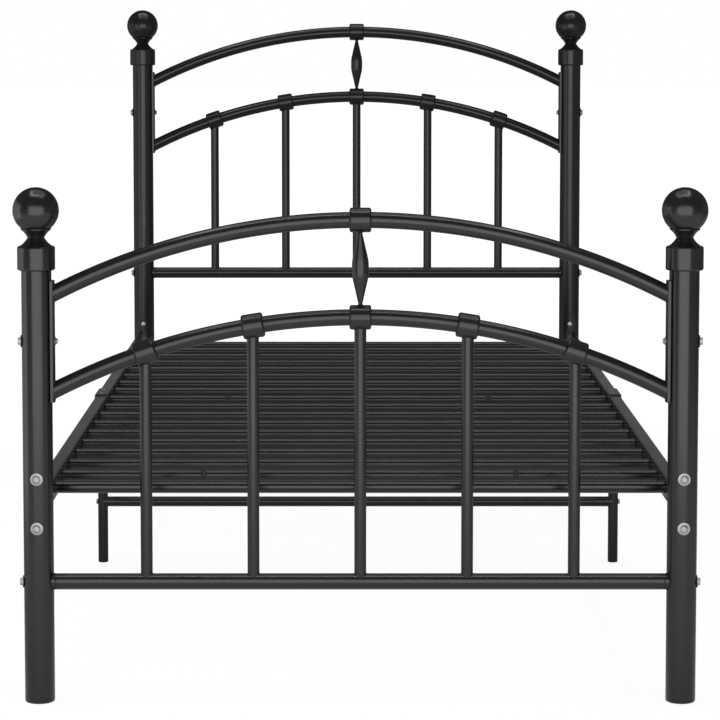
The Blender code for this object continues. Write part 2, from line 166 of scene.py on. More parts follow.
def zincMaterial(name, look):
    # zinc plate, a little cloudy, with fine scratches
    material, nodes, links = newMaterial(name)
    shader = nodes["Principled BSDF"]
    shader.inputs["Metallic"].default_value = 1.0
    place = nodes.new("ShaderNodeTexCoord")
    clouds = noise(nodes, links, place, look["patchScale"], 4.0)
    colour = ramped(nodes, links, clouds, tints(look))
    links.new(colour, shader.inputs["Base Color"])
    gloss = stretched(nodes, links, clouds, noiseBand, look["roughness"])
    links.new(gloss, shader.inputs["Roughness"])
    scratches = noise(nodes, links, place, look["scratchScale"], 3.0)
    relief = bump(nodes, links, scratches, look["scratchHeight"])
    links.new(relief, shader.inputs["Normal"])
    return material


blackCoat = coatMaterial("blackPowderCoat", coat)
blackSlatCoat = coatMaterial("blackSlatCoat", slatCoat)
blackCasting = coatMaterial("blackCasting", castingCoat)
blackPlastic = coatMaterial("blackPlastic", mouldedPlastic)
blackPlug = coatMaterial("blackPlug", plugPlastic)
brightZinc = zincMaterial("brightZinc", zinc)
# the brighter zinc copy carries the cap nuts' painted highlight
paintedHighlightZinc = zincMaterial("paintedHighlightZinc", nutZincPaintedHighlight)
print("materials made")

samePlace = 1e-6
broadFaceWeight = 90
castSharp = 40  # degrees; castings and leaves keep only their hard creases
# the bead where a tube is welded on: sides of its round, and how its width ripples
weld = {"sides": 8, "ripple": 0.1, "segmentsToRipple": 4}


def chain(points, closed=False):
    # one profile, as (radius, height) corners beside the Z axis, in a new bmesh
    bm = bmesh.new()
    verts = [bm.verts.new((radius, 0, height)) for radius, height in points]
    for first, second in zip(verts, verts[1:]):
        bm.edges.new((first, second))
    if closed:
        bm.edges.new((verts[-1], verts[0]))
    return bm, verts


def soften(bm, verts, radius, segments=4):
    bmesh.ops.bevel(
        bm, geom=verts, offset=radius, segments=segments, profile=0.5,
        affect="VERTICES", material=-1,
    )


def softenEdges(bm, edges, width, segments=3):
    bmesh.ops.bevel(
        bm, geom=edges, offset=width, segments=segments, profile=0.5,
        affect="EDGES", material=-1,
    )


def softenRim(bm, width, segments=2):
    # rounds the edges where two faces meet at more than one radian
    rim = [edge for edge in bm.edges if edge.calc_face_angle(0) > 1]
    softenEdges(bm, rim, width, segments)


def bow(bm, start, finish, bulge, steps):
    # an arc from start towards finish in the XZ plane, bulging to one side of the chord
    chord = finish - start
    middle = (start + finish) / 2
    side = Vector((-chord.z, 0, chord.x)).normalized()
    radius = (chord.length / 2) ** 2 / (2 * bulge) + bulge / 2
    centre = middle - side * (radius - bulge)
    turn = 2 * asin(chord.length / 2 / abs(radius))
    vert = bm.verts.new(start)
    angle = turn if radius > 0 else -turn
    bmesh.ops.spin(
        bm, geom=[vert], cent=centre, axis=(0, 1, 0), angle=angle, steps=steps, use_merge=False
    )


def lathe(bm, segments):
    # a full turn about Z
    bmesh.ops.spin(
        bm, geom=bm.verts[:] + bm.edges[:], cent=(0, 0, 0), axis=(0, 0, 1), angle=2 * pi,
        steps=segments, use_merge=True,
    )
    bmesh.ops.remove_doubles(bm, verts=bm.verts, dist=samePlace)
    return bm


def turned(points, segments, rounding=0.0, corners=None, closed=False, steps=4):
    bm, verts = chain(points, closed)
    if rounding:
        chosen = [verts[index] for index in corners] if corners else verts[1:-1]
        soften(bm, chosen, rounding, steps)
    return lathe(bm, segments)


def aim(direction, at):
    # turns +Z to a direction, then moves to a place
    turn = Vector(direction).to_track_quat("Z", "Y").to_matrix().to_4x4()
    return Matrix.Translation(at) @ turn


def moved(bm, matrix):
    bmesh.ops.transform(bm, matrix=matrix, verts=bm.verts)
    return bm


def together(*parts):
    whole = bmesh.new()
    for part in parts:
        scrap = bpy.data.meshes.new("scrap")
        part.to_mesh(scrap)
        part.free()
        whole.from_mesh(scrap)
        bpy.data.meshes.remove(scrap)
    return whole


def copied(bm, matrix):
    return moved(bm.copy(), matrix)


def cutAway(bm, at, facing):
    # removes what lies beyond a plane, and gives back the edges of the cut
    cut = bmesh.ops.bisect_plane(
        bm, geom=bm.verts[:] + bm.edges[:] + bm.faces[:], plane_co=at, plane_no=facing,
        clear_outer=True, dist=samePlace,
    )
    return [part for part in cut["geom_cut"] if isinstance(part, bmesh.types.BMEdge)]


def isVert(part):
    return isinstance(part, bmesh.types.BMVert)


def piece(name, bm, material, nodes=(), sharp=32):
    bmesh.ops.remove_doubles(bm, verts=bm.verts, dist=1e-7)
    bmesh.ops.recalc_face_normals(bm, faces=bm.faces)
    mesh = bpy.data.meshes.new(name)
    bm.to_mesh(mesh)
    bm.free()
    mesh.shade_smooth()
    mesh.set_sharp_from_angle(angle=radians(sharp))
    mesh.materials.append(material)
    made = added(name, mesh)
    # broad faces lead the shading, so small roundings don't bend it
    even = made.modifiers.new("evenShading", "WEIGHTED_NORMAL")
    even.weight = broadFaceWeight
    even.keep_sharp = True
    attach(made, "root")
    if nodes:
        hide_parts(*nodes)
    return made


def carved(bm, cutter):
    # the first shape with the second cut out of it
    objects = []
    for label, part in (("blank", bm), ("cutter", cutter)):
        bmesh.ops.recalc_face_normals(part, faces=part.faces)
        mesh = bpy.data.meshes.new(label)
        part.to_mesh(mesh)
        part.free()
        objects.append(added(label, mesh))
    blank, tool = objects
    cut = blank.modifiers.new("cut", "BOOLEAN")
    cut.operation = "DIFFERENCE"
    cut.solver = "EXACT"
    cut.object = tool
    graph = bpy.context.evaluated_depsgraph_get()
    mesh = bpy.data.meshes.new_from_object(blank.evaluated_get(graph))
    result = bmesh.new()
    result.from_mesh(mesh)
    bpy.data.meshes.remove(mesh)
    for made in objects:
        old = made.data
        bpy.data.objects.remove(made, do_unlink=True)
        bpy.data.meshes.remove(old)
    return result


def weldBead(radius, bead, fit=None, segments=48):
    # a rippled bead round the foot of a tube on z = 0; fit lifts it onto a curved seat
    bm = bmesh.new()
    bmesh.ops.create_circle(bm, cap_ends=False, radius=bead, segments=weld["sides"])
    moved(bm, Matrix.Translation((radius, 0, 0)) @ Matrix.Rotation(pi / 2, 4, "X"))
    lathe(bm, segments)
    ripples = segments / weld["segmentsToRipple"]
    for vert in bm.verts:
        angle = atan2(vert.co.y, vert.co.x)
        middle = Vector((radius * cos(angle), radius * sin(angle), 0))
        vert.co = middle + (vert.co - middle) * (1 + weld["ripple"] * sin(angle * ripples))
        if fit:
            vert.co.z += fit(vert.co.x, vert.co.y)
    return bm


def bentFace(plate, across):
    # how far a bent plate's outer face stands from the axis of the post it is bolted to
    far = plate["bend"] + plate["thickness"]
    return sqrt(far ** 2 - across ** 2) - plate["bend"] + post["radius"] + bar["gap"]


def axisOf(node):
    low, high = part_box(node)
    return (low + high) / 2


post = {
    "radius": 0.0218,
    "wall": 0.0015,
    "sides": 72,
    "rimRound": 0.0004,
    "plugLip": 0.0042,
    "plugRound": 0.0028,
    "plugDepth": 0.020,
    "plugGap": 0.0002,
    "plugFit": 0.0003,
}


def makePosts():
    # hollow posts, each closed at its foot by a moulded plug
    radius, lip, gap = post["radius"], post["plugLip"], post["plugGap"]
    bore = radius - post["wall"]
    plugTop, plugBottom = bore - post["plugFit"], bore - 2 * post["plugFit"]
    for end in ends:
        for side in sides:
            node = f"{end}_post_{side}"
            at, top = axisOf(node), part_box(node)[1].z
            place = Matrix.Translation((at.x, at.y, 0))
            tube = turned(
                [(bore, lip + gap), (radius, lip + gap), (radius, top), (bore, top)],
                post["sides"], post["rimRound"], corners=[0, 1, 2, 3], closed=True, steps=2,
            )
            label = f"{end}Post{side.title()}"
            piece(label, moved(tube, place), blackCoat, [node])
            plug = turned(
                [
                    (0, 0), (radius - gap, 0), (radius - gap, lip), (plugTop, lip),
                    (plugBottom, post["plugDepth"]), (0, post["plugDepth"]),
                ],
                post["sides"], post["plugRound"], corners=[1],
            )
            label = f"{end}PostPlug{side.title()}"
            piece(label, moved(plug, place), blackPlug)


finial = {
    "socketRadius": 0.0220,
    "socketDepth": 0.029,
    "collarRadius": 0.02735,
    "collarHeight": 0.0350,
    "collarRound": 0.0030,
    "collarSteps": 5,
    "shoulderRadius": 0.0238,
    "neckRadius": 0.0122,
    "neckHeight": 0.0469,
    "lowerBulge": 0.0011,
    "upperBulge": 0.0012,
    "ringRadius": 0.0222,
    "ringHeight": 0.0588,
    "ringThickness": 0.0012,
    "ringRound": 0.0004,
    "grooveDepth": 0.0012,
    "ballRadius": 0.0335,
    "ballHeight": 0.0864,
    "bowSteps": 8,
    "ballSteps": 44,
    "sides": 80,
}


def finialShape():
    # collar over the post, waisted neck, thin ring and ball, turned from one profile
    look = finial
    collar, height, steps = look["collarRadius"], look["collarHeight"], look["bowSteps"]
    depth, socket, shoulder = look["socketDepth"], look["socketRadius"], look["shoulderRadius"]
    bm, verts = chain([
        (0, depth), (socket, depth), (socket, 0), (collar, 0), (collar, height), (shoulder, height)
    ])
    soften(bm, [verts[3], verts[4]], look["collarRound"], look["collarSteps"])
    neck = Vector((look["neckRadius"], 0, look["neckHeight"]))
    bow(bm, Vector((shoulder, 0, height)), neck, look["lowerBulge"], steps)
    ring = Vector((look["ringRadius"], 0, look["ringHeight"]))
    bow(bm, neck, ring, look["upperBulge"], steps)
    top = look["ringHeight"] + look["ringThickness"]
    inner = look["ringRadius"] - look["grooveDepth"]
    start = look["ballHeight"] - sqrt(look["ballRadius"] ** 2 - inner ** 2)
    corners = ((ring.x, 0, ring.z), (ring.x, 0, top), (inner, 0, top), (inner, 0, start))
    rim = [bm.verts.new(spot) for spot in corners]
    for first, second in zip(rim, rim[1:]):
        bm.edges.new((first, second))
    soften(bm, [rim[1]], look["ringRound"], 2)
    foot = bm.verts.new((inner, 0, start))
    swing = pi / 2 + asin((look["ballHeight"] - start) / look["ballRadius"])
    centre = (0, 0, look["ballHeight"])
    bmesh.ops.spin(
        bm, geom=[foot], cent=centre, axis=(0, 1, 0), angle=-swing, steps=look["ballSteps"],
        use_merge=False,
    )
    bmesh.ops.remove_doubles(bm, verts=bm.verts, dist=2 * samePlace)
    for vert in bm.verts:
        if abs(vert.co.x) < samePlace:
            vert.co.x = 0  # the pole
    return lathe(bm, look["sides"])


def makeFinials():
    shape = finialShape()
    for end in ends:
        for side in sides:
            node = f"{end}_finial_{side}"
            at = axisOf(node)
            base = Matrix.Translation((at.x, at.y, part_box(node)[0].z))
            label = f"{end}Finial{side.title()}"
            piece(label, copied(shape, base), blackPlastic, [node])
    shape.free()


arch = {
    "radius": 0.0118,
    "rise": 0.1056,
    "sides": 48,
    "steps": 128,
    "spare": 0.02,
    "bead": 0.0007,
    "gap": 0.0001,
}
casting = {
    "radius": 0.0179,
    "width": 0.0316,
    "round": 0.0036,
    "roundSteps": 6,
    "bite": 0.0002,
    "sides": 64,
}


def archCurve(node):
    # the arch's radius, the middle of its circle and where it ends across the bed
    low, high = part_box(node)
    crown = high.z - casting["radius"]
    radius = (high.x ** 2 + arch["rise"] ** 2) / (2 * arch["rise"])
    return radius, Vector((0, (low.y + high.y) / 2, crown - radius)), high.x


def castingShape():
    # a barrel with round shoulders
    half = casting["width"] / 2
    outer, inner = casting["radius"], arch["radius"] - casting["bite"]
    return turned(
        [(inner, -half), (outer, -half), (outer, half), (inner, half)], casting["sides"],
        casting["round"], [1, 2], True, casting["roundSteps"],
    )


def archTube(radius, centre, reach):
    # a bent tube a little longer than it will be, open at both ends
    swing = asin(reach / radius) + arch["spare"]
    bm = bmesh.new()
    bmesh.ops.create_circle(
        bm, cap_ends=False, radius=arch["radius"], segments=arch["sides"]
    )
    bmesh.ops.rotate(bm, verts=bm.verts, matrix=Matrix.Rotation(pi / 2, 3, "Y"))
    bmesh.ops.translate(bm, verts=bm.verts, vec=centre + radius * zAxis)
    bmesh.ops.rotate(
        bm, verts=bm.verts, cent=centre, matrix=Matrix.Rotation(-swing, 3, "Y")
    )
    bmesh.ops.spin(
        bm, geom=bm.verts[:] + bm.edges[:], cent=centre, axis=(0, 1, 0), angle=2 * swing,
        steps=arch["steps"], use_merge=False,
    )
    return bm


def seatArch(bm, sign, radius, centre, reach, postX):
    # cuts one end, caps it and slides it along the tube onto the bent side plate
    slope = reach / radius
    level = sqrt(1 - slope ** 2)
    endHeight = centre.z + sqrt(radius ** 2 - reach ** 2)
    rim = cutAway(bm, (sign * reach, 0, 0), (sign, 0, 0))
    bmesh.ops.contextual_create(bm, geom=rim)
    bead = weldBead(arch["radius"], arch["bead"])
    stretch = Matrix.Diagonal((1, 1 / level, 1, 1))
    turn = Matrix.Rotation(pi / 2, 4, "Z") @ Matrix.Rotation(pi / 2, 4, "X")
    moved(bead, Matrix.Translation((sign * reach, centre.y, endHeight)) @ turn @ stretch)
    rimVerts = {vert for edge in rim for vert in edge.verts}
    for vert in [*rimVerts, *bead.verts]:
        face = bentFace(sidePlate, vert.co.y - centre.y) + arch["gap"]
        slide = postX - face - reach
        vert.co.x += sign * slide
        vert.co.z -= slide * slope / level
    return bead


def makeArches():
    shape = castingShape()
    for end in ends:
        for level, places in (("upper", [0.0]), ("lower", None)):
            node = f"{end}_arch_{level}"
            radius, centre, reach = archCurve(node)
            if places is None:
                places = [axisOf(f"{end}_spindle_{index}").x for index in range(1, 6)]
            postX = axisOf(f"{end}_post_right").x
            tube = archTube(radius, centre, reach)
            beads = [seatArch(tube, sign, radius, centre, reach, postX) for sign in (-1, 1)]
            label = f"{end}Arch{level.title()}"
            piece(label, together(tube, *beads), blackCoat, [node])
            for index, x in enumerate(places):
                angle = asin(x / radius)
                spot = centre + radius * Vector((sin(angle), 0, cos(angle)))
                place = aim((cos(angle), 0, -sin(angle)), spot)
                label = f"{end}Casting{level.title()}{index + 1}"
                piece(label, copied(shape, place), blackCasting, sharp=castSharp)
    shape.free()


leaf = {
    "endRadius": 0.0027,
    "radius": 0.0122,
    "straight": 0.0215,
    "round": 0.0050,
    "roundSteps": 6,
    "sides": 56,
    "bead": 0.0009,
    "beadInset": 0.0003,
    "beadSteps": 32,
}


def makeLeaves():
    # a turned leaf between the two middle castings
    for end in ends:
        node = f"{end}_leaf"
        low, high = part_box(node)
        half, straight = (high.z - low.z) / 2, leaf["straight"] / 2
        thin, thick = leaf["endRadius"], leaf["radius"]
        shape = turned(
            [
                (0, -half), (thin, -half), (thick, -straight),
                (thick, straight), (thin, half), (0, half),
            ],
            leaf["sides"], leaf["round"], corners=[2, 3], steps=leaf["roundSteps"],
        )
        beads = []
        for sign in (-1, 1):
            bead = weldBead(thin, leaf["bead"], segments=leaf["beadSteps"])
            height = sign * (half - leaf["beadInset"])
            beads.append(moved(bead, Matrix.Translation((0, 0, height))))
        whole = moved(together(shape, *beads), Matrix.Translation(axisOf(node)))
        piece(f"{end}Leaf", whole, blackCasting, [node], sharp=castSharp)


bar = {"radius": 0.0118, "sides": 48, "gap": 0.0003, "bead": 0.0006}
spindle = {"radius": 0.0087, "sides": 40, "bead": 0.0006}


def roundBar(length, radius, sides):
    # a closed bar along Z, centred
    bm = bmesh.new()
    bmesh.ops.create_cone(
        bm, cap_ends=True, segments=sides, radius1=radius, radius2=radius, depth=length
    )
    return bm


def makeBottomBars():
    # each bar's ends are hollowed to meet the round posts
    for end in ends:
        node = f"{end}_bottom_bar"
        at = axisOf(node)
        postX = axisOf(f"{end}_post_right").x
        reach = post["radius"] + bar["gap"]
        bm = roundBar(2 * (postX - reach), bar["radius"], bar["sides"])
        for vert in bm.verts:
            depth = sqrt(reach ** 2 - vert.co.y ** 2)
            vert.co.z = (postX - depth) * (1 if vert.co.z > 0 else -1)

        def seat(x, y):
            return reach - sqrt(reach ** 2 - y ** 2)

        beads = []
        for sign in (-1, 1):
            bead = weldBead(bar["radius"], bar["bead"], seat)
            flip = Matrix.Rotation(pi if sign > 0 else 0, 4, "Y")
            spot = Matrix.Translation((0, 0, sign * (postX - reach)))
            beads.append(moved(bead, spot @ flip))
        turn = Matrix.Translation(at) @ Matrix.Rotation(pi / 2, 4, "Y")
        whole = moved(together(bm, *beads), turn)
        piece(f"{end}BottomBar", whole, blackCoat, [node])


def makeSpindles():
    # each spindle stands on the bottom bar and runs up to a casting on the lower arch
    for end in ends:
        barAt = axisOf(f"{end}_bottom_bar")
        radius, centre = archCurve(f"{end}_arch_lower")[:2]
        for index in range(1, 6):
            node = f"{end}_spindle_{index}"
            x = axisOf(node).x
            crown = centre.z + sqrt(radius ** 2 - x ** 2)
            slope = x / radius
            level = sqrt(1 - slope ** 2)
            under = casting["radius"]
            barSeat = bar["radius"]

            def onBar(dx, dy):
                return sqrt(barSeat ** 2 - dy ** 2)

            def underCasting(dx, dy):
                return -(sqrt(under ** 2 - dy ** 2) + dx * slope) / level

            tube = roundBar(1.0, spindle["radius"], spindle["sides"])
            for vert in tube.verts:
                if vert.co.z > 0:
                    vert.co.z = crown + underCasting(vert.co.x, vert.co.y)
                else:
                    vert.co.z = barAt.z + onBar(vert.co.x, vert.co.y)
            beads = []
            for height, fit in ((barAt.z, onBar), (crown, underCasting)):
                bead = weldBead(spindle["radius"], spindle["bead"], fit)
                beads.append(moved(bead, Matrix.Translation((0, 0, height))))
            whole = moved(together(tube, *beads), Matrix.Translation((x, barAt.y, 0)))
            piece(f"{end}Spindle{index}", whole, blackCoat, [node])


sidePlate = {
    "thickness": 0.0042,
    "width": 0.025,
    "bend": 0.037,
    "edge": 0.0006,
    "steps": 28,
    "boltDrop": 0.103,
}
washer = {"radius": 0.009, "hole": 0.0032, "height": 0.0012, "edge": 0.0002, "sides": 40}
nut = {"radius": 0.0056, "height": 0.0040, "edge": 0.0003}
# the hexagon socket is sunk in a flat a little wider than itself
headEdge = {"height": 0.0009, "round": 0.0003, "flat": 0.0012, "sides": 48, "bowSteps": 10}
panHead = {
    "radius": 0.0062,
    "height": 0.0042,
    "bulge": 0.0008,
    "socket": 0.0022,
    "socketDepth": 0.0010,
    "sink": 0.0002,
}


def washerShape():
    hole, radius, height = washer["hole"], washer["radius"], washer["height"]
    return turned(
        [(hole, 0), (radius, 0), (radius, height), (hole, height)], washer["sides"],
        washer["edge"], [0, 1, 2, 3], True, 2,
    )


def hexNut():
    bm = roundBar(nut["height"], nut["radius"], 6)
    softenEdges(bm, bm.edges[:], nut["edge"], 2)
    return moved(bm, Matrix.Translation((0, 0, nut["height"] / 2)))


def boltEnd():
    # washer and hexagon nut, standing on z = 0
    nutShape = moved(hexNut(), Matrix.Translation((0, 0, washer["height"])))
    return together(washerShape(), nutShape)


def domeHead(look):
    # a low domed head with a hexagon socket, standing on z = 0
    radius, height, edge = look["radius"], look["height"], headEdge["height"]
    bm, verts = chain([(0, 0), (radius, 0), (radius, edge)])
    soften(bm, [verts[1]], headEdge["round"], 2)
    flat = look["socket"] + headEdge["flat"]
    start, finish = Vector((radius, 0, edge)), Vector((flat, 0, height))
    bow(bm, start, finish, look["bulge"], headEdge["bowSteps"])
    rim = [bm.verts.new((flat, 0, height)), bm.verts.new((0, 0, height))]
    bm.edges.new(rim)
    bmesh.ops.remove_doubles(bm, verts=bm.verts, dist=2 * samePlace)
    lathe(bm, headEdge["sides"])
    socket = roundBar(2 * look["socketDepth"], look["socket"], 6)
    return carved(bm, moved(socket, Matrix.Translation((0, 0, height))))


def sidePlateShape(height):
    # an upright plate on the -X side of the post's axis, bent less sharply than the post
    reach = post["radius"] + bar["gap"]
    half = sidePlate["width"] / 2
    centre = Vector((sidePlate["bend"] - reach, 0, 0))
    swing = asin(half / (sidePlate["bend"] + sidePlate["thickness"]))
    bm = bmesh.new()
    start = bm.verts.new((-reach, 0, 0))
    finish = bm.verts.new((-reach - sidePlate["thickness"], 0, 0))
    wall = bm.edges.new((start, finish))
    bmesh.ops.rotate(
        bm, verts=bm.verts, cent=centre, matrix=Matrix.Rotation(-swing, 3, "Z")
    )
    bmesh.ops.spin(
        bm, geom=[start, finish, wall], cent=centre, axis=(0, 0, 1), angle=2 * swing,
        steps=sidePlate["steps"], use_merge=False,
    )
    for vert in bm.verts:
        # both long edges are cut square to the panel
        spoke = vert.co - centre
        if abs(abs(atan2(spoke.y, -spoke.x)) - swing) < 1e-4:
            vert.co.y = half if spoke.y > 0 else -half
            vert.co.x = centre.x - sqrt(spoke.length ** 2 - half ** 2)
    grown = bmesh.ops.extrude_face_region(bm, geom=bm.faces[:])
    top = [part for part in grown["geom"] if isVert(part)]
    bmesh.ops.translate(bm, verts=top, vec=(0, 0, height))
    bmesh.ops.recalc_face_normals(bm, faces=bm.faces)
    softenRim(bm, sidePlate["edge"])
    return bm


def makeSidePlates():
    for end in ends:
        for side, sign in sides.items():
            node = f"{end}_side_plate_{side}"
            low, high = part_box(node)
            postAt = axisOf(f"{end}_post_{side}")
            mirror = Matrix.Diagonal((sign, 1, 1, 1))
            place = Matrix.Translation((postAt.x, postAt.y, low.z)) @ mirror
            plate = moved(sidePlateShape(high.z - low.z), place)
            label = f"{end}SidePlate{side.title()}"
            piece(label, plate, blackCoat, [node])
            reach = post["radius"] + bar["gap"]
            face = reach + sidePlate["thickness"] - panHead["sink"]
            headAt = Vector((postAt.x - sign * face, postAt.y, boltHeight(end)))
            tailAt = Vector((postAt.x + sign * reach, postAt.y, boltHeight(end)))
            head = moved(domeHead(panHead), aim((-sign, 0, 0), headAt))
            tail = moved(boltEnd(), aim((sign, 0, 0), tailAt))
            label = f"{end}PlateBolt{side.title()}"
            piece(label, together(head, tail), brightZinc)


def boltHeight(end):
    # the side plate's bolt is measured down from the finial
    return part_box(f"{end}_finial_left")[0].z - sidePlate["boltDrop"]


def makeBarBolts():
    for end in ends:
        barAt = axisOf(f"{end}_bottom_bar")
        for side, sign in sides.items():
            postAt = axisOf(f"{end}_post_{side}")
            x = postAt.x + sign * (post["radius"] + bar["gap"])
            tail = moved(boltEnd(), aim((sign, 0, 0), Vector((x, postAt.y, barAt.z))))
            piece(f"{end}BarBolt{side.title()}", tail, brightZinc)


rail = {
    "width": 0.020,
    "height": 0.035,
    "wall": 0.0015,
    "corner": 0.0022,
    "cornerSteps": 5,
    "gap": 0.0003,
}


def makeRails():
    # hollow rail halves, each hollowed at its outer end to meet the bent bracket
    for end in ends:
        word = "front" if end == "foot" else "rear"
        for side in sides:
            node = f"side_rail_{word}_{side}"
            low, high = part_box(node)
            at = axisOf(node)
            postAt = axisOf(f"{end}_post_{side}")
            halfWidth, halfHeight, wall = rail["width"] / 2, rail["height"] / 2, rail["wall"]
            inner = low.y if end == "head" else high.y
            bm = bmesh.new()
            bmesh.ops.create_grid(bm, x_segments=1, y_segments=1, size=1.0)
            for vert in bm.verts:
                vert.co = Vector((vert.co.x * halfWidth, 0, vert.co.y * halfHeight))
            soften(bm, bm.verts[:], rail["corner"], rail["cornerSteps"])
            bmesh.ops.inset_region(
                bm, faces=bm.faces[:], thickness=wall, use_even_offset=True, use_boundary=True
            )
            middle = min(bm.faces, key=lambda face: face.calc_center_median().length)
            bmesh.ops.delete(bm, geom=[middle], context="FACES")
            grown = bmesh.ops.extrude_face_region(bm, geom=bm.faces[:])
            away = [part for part in grown["geom"] if isVert(part)]
            for vert in bm.verts:
                vert.co.y = inner - at.y
            for vert in away:
                face = bentFace(bracket, vert.co.x) + rail["gap"]
                vert.co.y = postAt.y - outward[end] * face - at.y
            moved(bm, Matrix.Translation((postAt.x, at.y, at.z)))
            label = f"{word}Rail{side.title()}"
            piece(label, bm, blackCoat, [node])


bracket = {
    "thickness": 0.003,
    "halfWidth": 0.0135,
    "bend": 0.037,
    "height": 0.0975,
    "edge": 0.0006,
    "sides": 64,
    "steps": 28,
}
railBolt = {
    "radius": 0.0090,
    "height": 0.0034,
    "bulge": 0.0006,
    "socket": 0.0024,
    "socketDepth": 0.0003,
    "sink": 0.0004,
    "rise": {"foot": 0.0360, "head": 0.0330},
}
capNut = {
    "radius": 0.0050,
    "height": 0.0050,
    "baseHeight": 0.0030,
    "baseShare": 1.06,
    "domeShare": 0.94,
    "edge": 0.0002,
    "overlap": 0.0001,
    "sink": 0.0003,
}


def capNutShape():
    # a dome on a small hexagon, standing on z = 0
    baseHeight, dome = capNut["baseHeight"], capNut["radius"] * capNut["domeShare"]
    base = roundBar(baseHeight, capNut["radius"] * capNut["baseShare"], 6)
    softenEdges(base, base.edges[:], capNut["edge"], 2)
    moved(base, Matrix.Translation((0, 0, baseHeight / 2)))
    cap = bmesh.new()
    bmesh.ops.create_uvsphere(cap, u_segments=28, v_segments=14, radius=dome)
    bmesh.ops.contextual_create(cap, geom=cutAway(cap, (0, 0, 0), (0, 0, -1)))
    squash = (capNut["height"] - baseHeight) / dome
    place = Matrix.Translation((0, 0, baseHeight - capNut["overlap"]))
    moved(cap, place @ Matrix.Diagonal((1, 1, squash, 1)))
    return together(base, cap)


def bracketShape(turnSign):
    # an upright plate with round ends, bent round the post's inner face
    bend, halfArc = bracket["bend"], bracket["halfWidth"]
    outer = bend + bracket["thickness"]
    centre = turnSign * (post["radius"] + bar["gap"] - bend)
    straight = bracket["height"] / 2 - halfArc
    bm = bmesh.new()
    bmesh.ops.create_circle(bm, cap_ends=True, radius=halfArc, segments=bracket["sides"])
    for vert in bm.verts:
        if abs(vert.co.y) > samePlace:
            vert.co.y += straight if vert.co.y > 0 else -straight
    for step in range(1, bracket["steps"]):
        # upright cuts, so that the flat plate can bend
        x = halfArc * (2 * step / bracket["steps"] - 1)
        bmesh.ops.bisect_plane(
            bm, geom=bm.verts[:] + bm.edges[:] + bm.faces[:], plane_co=(x, 0, 0),
            plane_no=(1, 0, 0), dist=samePlace,
        )
    grown = bmesh.ops.extrude_face_region(bm, geom=bm.faces[:])
    shell = {part for part in grown["geom"] if isVert(part)}
    for vert in bm.verts:
        angle = vert.co.x / outer
        depth = outer if vert in shell else bend
        vert.co = Vector((depth * sin(angle), centre + turnSign * depth * cos(angle), vert.co.y))
    softenRim(bm, bracket["edge"])
    return bm


def makeBrackets():
    inside = post["radius"] + bar["gap"] + bracket["thickness"] - capNut["sink"]
    outside = post["radius"] - railBolt["sink"]
    for end in ends:
        inward = -outward[end]
        for side in sides:
            node = f"{end}_rail_bracket_{side}"
            at = axisOf(node)
            postAt = axisOf(f"{end}_post_{side}")
            place = Matrix.Translation((postAt.x, postAt.y, at.z))
            label = f"{end}RailBracket{side.title()}"
            plate = moved(bracketShape(inward), place)
            piece(label, plate, blackCoat, [node])
            for level, sign in (("Lower", -1), ("Upper", 1)):
                z = at.z + sign * railBolt["rise"][end]
                headAt = Vector((postAt.x, postAt.y - inward * outside, z))
                tailAt = Vector((postAt.x, postAt.y + inward * inside, z))
                head = moved(domeHead(railBolt), aim((0, -inward, 0), headAt))
                tail = moved(capNutShape(), aim((0, inward, 0), tailAt))
                label = f"{level}{side.title()}"
                piece(f"{end}RailBolt{label}", head, brightZinc)
                # the cap nuts take the brighter zinc copy, their painted highlight
                piece(f"{end}RailNut{label}", tail, paintedHighlightZinc)


slat = {"count": 18, "radius": 0.0090, "sides": 40, "bead": 0.0006, "gap": 0.0003}
slatPlug = {
    "slats": (2, 10),
    "x": 0.24,
    "radius": 0.0052,
    "under": 0.0004,
    "shoulder": 0.0010,
    "height": 0.0030,
    "bulge": 0.0007,
    "stemShare": 0.6,
    "stem": 0.0020,
    "angle": radians(28),
    "sink": 0.0006,
    "bowSteps": 8,
    "sides": 32,
}


def makeSlats():
    for index in range(1, slat["count"] + 1):
        node = f"slat_{index:02d}"
        low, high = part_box(node)
        at = axisOf(node)
        tube = roundBar(high.x - low.x + slat["gap"], slat["radius"], slat["sides"])
        beads = []
        for sign in (-1, 1):
            bead = weldBead(slat["radius"], slat["bead"], segments=slat["sides"])
            spot = Matrix.Translation((0, 0, sign * (high.x - slat["gap"])))
            beads.append(moved(bead, spot))
        turn = Matrix.Translation(at) @ Matrix.Rotation(pi / 2, 4, "Y")
        whole = moved(together(tube, *beads), turn)
        piece(f"slat{index:02d}", whole, blackSlatCoat, [node])


def makeSlatPlugs():
    # small round-headed plugs pressed into two of the slats, facing the foot of the bed
    radius, height, stem = slatPlug["radius"], slatPlug["height"], slatPlug["stem"]
    thin = radius * slatPlug["stemShare"]
    under, shoulder = slatPlug["under"], slatPlug["shoulder"]
    facing = Vector((0, -cos(slatPlug["angle"]), sin(slatPlug["angle"])))
    for index in slatPlug["slats"]:
        at = axisOf(f"slat_{index:02d}")
        for side, sign in sides.items():
            bm = chain([
                (0, -stem), (thin, -stem), (thin, under), (radius, under), (radius, shoulder)
            ])[0]
            start, finish = Vector((radius, 0, shoulder)), Vector((0, 0, height))
            bow(bm, start, finish, slatPlug["bulge"], slatPlug["bowSteps"])
            bmesh.ops.remove_doubles(bm, verts=bm.verts, dist=2 * samePlace)
            lathe(bm, slatPlug["sides"])
            spot = Vector((sign * slatPlug["x"], at.y, at.z))
            spot += facing * (slat["radius"] - slatPlug["sink"])
            label = f"slatPlug{index:02d}{side.title()}"
            piece(label, moved(bm, aim(facing, spot)), blackPlug)


